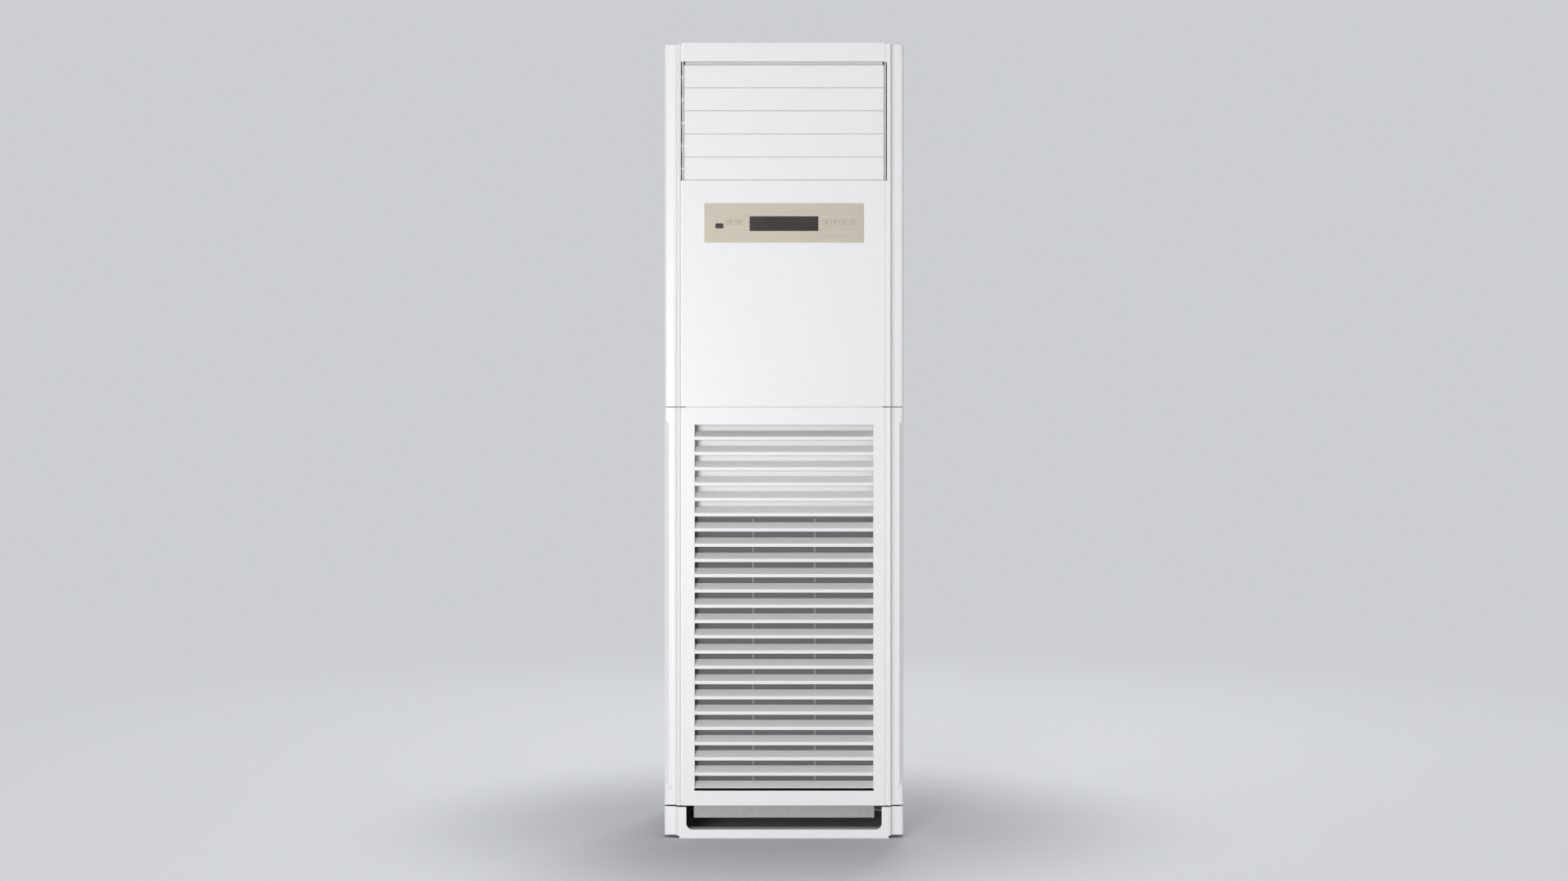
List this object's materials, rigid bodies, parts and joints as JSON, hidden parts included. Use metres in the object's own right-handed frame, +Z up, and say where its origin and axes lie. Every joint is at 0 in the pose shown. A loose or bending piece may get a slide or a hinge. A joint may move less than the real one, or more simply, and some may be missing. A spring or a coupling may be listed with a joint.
{
  "type": "floor standing air conditioner",
  "caption": "Tall white cabinet air conditioner with louvred outlet on top, display panel, slatted intake grille and blower inside.",
  "frame": {"origin": "on the floor under the middle of the cabinet's box", "axes": "+Z up, -Y out of the front, +X to the right seen from the front"},
  "size_m": [0.55, 0.418, 1.824],
  "materials": {
    "white_shell": "satin moulded white plastic",
    "white_steel": "white powder coated sheet",
    "white_inside": "white plastic, matt",
    "zinc": "zinc coated sheet",
    "champagne": "brushed champagne finish",
    "smoke": "smoked, glossy",
    "dark_plastic": "dark plastic",
    "filter_mesh": "fine net in a plastic frame",
    "foam": "expanded foam, beaded",
    "aluminium": "thin fins",
    "copper": "drawn copper tube",
    "steel": "turned steel",
    "circuit": "green board",
    "rubber": "black rubber"
  },
  "bodies": {
    "cabinet": {"air_guide": "foam", "base_pan": "zinc", "base_surround": "white_shell", "cable_gland": "dark_plastic", "display_board": "circuit", "display_plate": "champagne", "display_window": "smoke", "drain_hose": "rubber", "drain_pan": "foam", "electrical_box": "zinc", "electrical_cover": "white_steel", "evaporator_coil": "aluminium", "fan_motor": "zinc", "fan_scroll": "zinc", "gas_pipe": "copper", "liquid_pipe": "copper", "louvre_motor": "dark_plastic", "main_board": "circuit", "motor_bracket": "zinc", "outlet_frame": "white_inside", "partition_plate": "zinc", "pipe_grommet": "rubber", "rear_panel_lower": "white_steel", "rear_panel_upper": "white_steel", "receiver_lens": "smoke", "scroll_front": "zinc", "side_panel_left": "white_steel", "side_panel_right": "white_steel", "terminal_block": "dark_plastic", "top_cover": "white_shell", "upper_front_panel": "white_shell", "vane_motor": "dark_plastic", "wall_bracket": "zinc"},
    "grille": {"intake_grille": "white_shell", "grille_lock_screw_left": "white_steel", "grille_lock_screw_right": "white_steel"},
    "filter": {"air_filter": "filter_mesh"},
    "blower": {"blower_wheel": "dark_plastic", "motor_shaft": "steel", "wheel_nut": "steel"},
    "louvre_1_body": {"louvre_1": "white_shell"},
    "louvre_2_body": {"louvre_2": "white_shell"},
    "louvre_3_body": {"louvre_3": "white_shell"},
    "louvre_4_body": {"louvre_4": "white_shell"},
    "louvre_5_body": {"louvre_5": "white_shell"},
    "vane_1_body": {"vane_1": "white_inside"},
    "vane_2_body": {"vane_2": "white_inside"},
    "vane_3_body": {"vane_3": "white_inside"},
    "vane_4_body": {"vane_4": "white_inside"},
    "vane_5_body": {"vane_5": "white_inside"},
    "vane_6_body": {"vane_6": "white_inside"},
    "vane_7_body": {"vane_7": "white_inside"},
    "button_1_body": {"button_1": "champagne"},
    "button_2_body": {"button_2": "champagne"},
    "button_3_body": {"button_3": "champagne"},
    "button_4_body": {"button_4": "champagne"},
    "button_5_body": {"button_5": "champagne"},
    "button_6_body": {"button_6": "champagne"},
    "louvre_link_body": {"louvre_link": "white_inside"},
    "vane_link_body": {"vane_link": "white_inside"}
  },
  "joints": [
    {"name": "grille_tilt", "type": "hinge", "parent": "cabinet", "child": "grille", "pos_m": [0, -0.2, 0.083], "axis": [1, 0, 0], "range_deg": [0, 30]},
    {"name": "filter_lift", "type": "slide", "parent": "grille", "child": "filter", "axis": [0, 0, 1], "range_m": [0, 0.24]},
    {"name": "blower_spin", "type": "hinge", "parent": "cabinet", "child": "blower", "pos_m": [0, 0, 0.385], "axis": [0, 1, 0], "continuous": true},
    {"name": "louvre_1_tilt", "type": "hinge", "parent": "cabinet", "child": "louvre_1_body", "pos_m": [0, -0.195, 1.53595], "axis": [1, 0, 0], "range_deg": [0, 110]},
    {"name": "louvre_2_tilt", "type": "hinge", "parent": "cabinet", "child": "louvre_2_body", "pos_m": [0, -0.195, 1.58885], "axis": [1, 0, 0], "range_deg": [0, 110]},
    {"name": "louvre_3_tilt", "type": "hinge", "parent": "cabinet", "child": "louvre_3_body", "pos_m": [0, -0.195, 1.64175], "axis": [1, 0, 0], "range_deg": [0, 110]},
    {"name": "louvre_4_tilt", "type": "hinge", "parent": "cabinet", "child": "louvre_4_body", "pos_m": [0, -0.195, 1.69465], "axis": [1, 0, 0], "range_deg": [0, 110]},
    {"name": "louvre_5_tilt", "type": "hinge", "parent": "cabinet", "child": "louvre_5_body", "pos_m": [0, -0.195, 1.74755], "axis": [1, 0, 0], "range_deg": [0, 110]},
    {"name": "louvre_link_pivot", "type": "hinge", "parent": "louvre_3_body", "child": "louvre_link_body", "pos_m": [-0.24, -0.18754, 1.6311], "axis": [1, 0, 0], "range_deg": [-110, 0]},
    {"name": "vane_1_turn", "type": "hinge", "parent": "cabinet", "child": "vane_1_body", "pos_m": [-0.192, -0.135, 1.65], "axis": [0, 0, 1], "range_deg": [-35, 35]},
    {"name": "vane_2_turn", "type": "hinge", "parent": "cabinet", "child": "vane_2_body", "pos_m": [-0.128, -0.135, 1.65], "axis": [0, 0, 1], "range_deg": [-35, 35]},
    {"name": "vane_3_turn", "type": "hinge", "parent": "cabinet", "child": "vane_3_body", "pos_m": [-0.064, -0.135, 1.65], "axis": [0, 0, 1], "range_deg": [-35, 35]},
    {"name": "vane_4_turn", "type": "hinge", "parent": "cabinet", "child": "vane_4_body", "pos_m": [0, -0.135, 1.65], "axis": [0, 0, 1], "range_deg": [-35, 35]},
    {"name": "vane_5_turn", "type": "hinge", "parent": "cabinet", "child": "vane_5_body", "pos_m": [0.064, -0.135, 1.65], "axis": [0, 0, 1], "range_deg": [-35, 35]},
    {"name": "vane_6_turn", "type": "hinge", "parent": "cabinet", "child": "vane_6_body", "pos_m": [0.128, -0.135, 1.65], "axis": [0, 0, 1], "range_deg": [-35, 35]},
    {"name": "vane_7_turn", "type": "hinge", "parent": "cabinet", "child": "vane_7_body", "pos_m": [0.192, -0.135, 1.65], "axis": [0, 0, 1], "range_deg": [-35, 35]},
    {"name": "vane_link_pivot", "type": "hinge", "parent": "vane_4_body", "child": "vane_link_body", "pos_m": [0, -0.117, 1.509], "axis": [0, 0, 1], "range_deg": [-35, 35]},
    {"name": "button_1_push", "type": "slide", "parent": "cabinet", "child": "button_1_body", "axis": [0, 1, 0], "range_m": [0, 0.0007], "stiffness_N_per_m": 300, "springref_m": -0.003},
    {"name": "button_2_push", "type": "slide", "parent": "cabinet", "child": "button_2_body", "axis": [0, 1, 0], "range_m": [0, 0.0007], "stiffness_N_per_m": 300, "springref_m": -0.003},
    {"name": "button_3_push", "type": "slide", "parent": "cabinet", "child": "button_3_body", "axis": [0, 1, 0], "range_m": [0, 0.0007], "stiffness_N_per_m": 300, "springref_m": -0.003},
    {"name": "button_4_push", "type": "slide", "parent": "cabinet", "child": "button_4_body", "axis": [0, 1, 0], "range_m": [0, 0.0007], "stiffness_N_per_m": 300, "springref_m": -0.003},
    {"name": "button_5_push", "type": "slide", "parent": "cabinet", "child": "button_5_body", "axis": [0, 1, 0], "range_m": [0, 0.0007], "stiffness_N_per_m": 300, "springref_m": -0.003},
    {"name": "button_6_push", "type": "slide", "parent": "cabinet", "child": "button_6_body", "axis": [0, 1, 0], "range_m": [0, 0.0007], "stiffness_N_per_m": 300, "springref_m": -0.003}
  ],
  "couplings": [
    {"joint": "louvre_1_tilt", "follows": "louvre_3_tilt", "ratio": 1},
    {"joint": "louvre_2_tilt", "follows": "louvre_3_tilt", "ratio": 1},
    {"joint": "louvre_4_tilt", "follows": "louvre_3_tilt", "ratio": 1},
    {"joint": "louvre_5_tilt", "follows": "louvre_3_tilt", "ratio": 1},
    {"joint": "louvre_link_pivot", "follows": "louvre_3_tilt", "ratio": -1},
    {"joint": "vane_1_turn", "follows": "vane_4_turn", "ratio": 1},
    {"joint": "vane_2_turn", "follows": "vane_4_turn", "ratio": 1},
    {"joint": "vane_3_turn", "follows": "vane_4_turn", "ratio": 1},
    {"joint": "vane_5_turn", "follows": "vane_4_turn", "ratio": 1},
    {"joint": "vane_6_turn", "follows": "vane_4_turn", "ratio": 1},
    {"joint": "vane_7_turn", "follows": "vane_4_turn", "ratio": 1},
    {"joint": "vane_link_pivot", "follows": "vane_4_turn", "ratio": -1}
  ]
}
